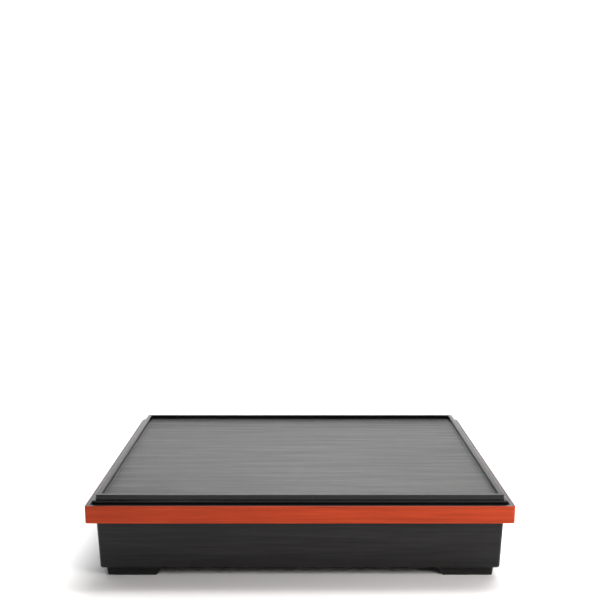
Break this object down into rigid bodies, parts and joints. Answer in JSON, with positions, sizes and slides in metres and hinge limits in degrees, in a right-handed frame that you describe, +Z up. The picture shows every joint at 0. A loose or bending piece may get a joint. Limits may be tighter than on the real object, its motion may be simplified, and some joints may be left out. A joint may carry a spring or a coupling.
{
  "type": "bento box",
  "caption": "Flat rectangular lidded lunch box on corner feet, with a stepped-out rim band, a lid with a sunken panel and a lift-out tray divided into sloping wells.",
  "frame": {"origin": "middle of the closed box, on the surface that it stands on", "axes": "+Z up, +X along the long side to the right, +Y to the back, where the tray has its large and small wells"},
  "size_m": [0.318, 0.261, 0.0648],
  "materials": {
    "base_black": "finely textured satin black, with the rim band's outer face painted vermilion and a semi-gloss black lip",
    "tray_vermilion": "glossy vermilion in the wells, glossy black on the ridges, flange and underside",
    "lid_black": "glossy black stepped rim round a satin charcoal panel with a fine grain from left to right"
  },
  "bodies": {
    "base": {"base_box": "base_black"},
    "tray": {"partition_tray": "tray_vermilion"},
    "lid": {"lid": "lid_black"}
  },
  "joints": [
    {"name": "tray_lift", "type": "slide", "parent": "base", "child": "tray", "axis": [0, 0, 1], "range_m": [0, 0.06]},
    {"name": "lid_lift", "type": "slide", "parent": "tray", "child": "lid", "axis": [0, 0, 1], "range_m": [0, 0.15]}
  ]
}
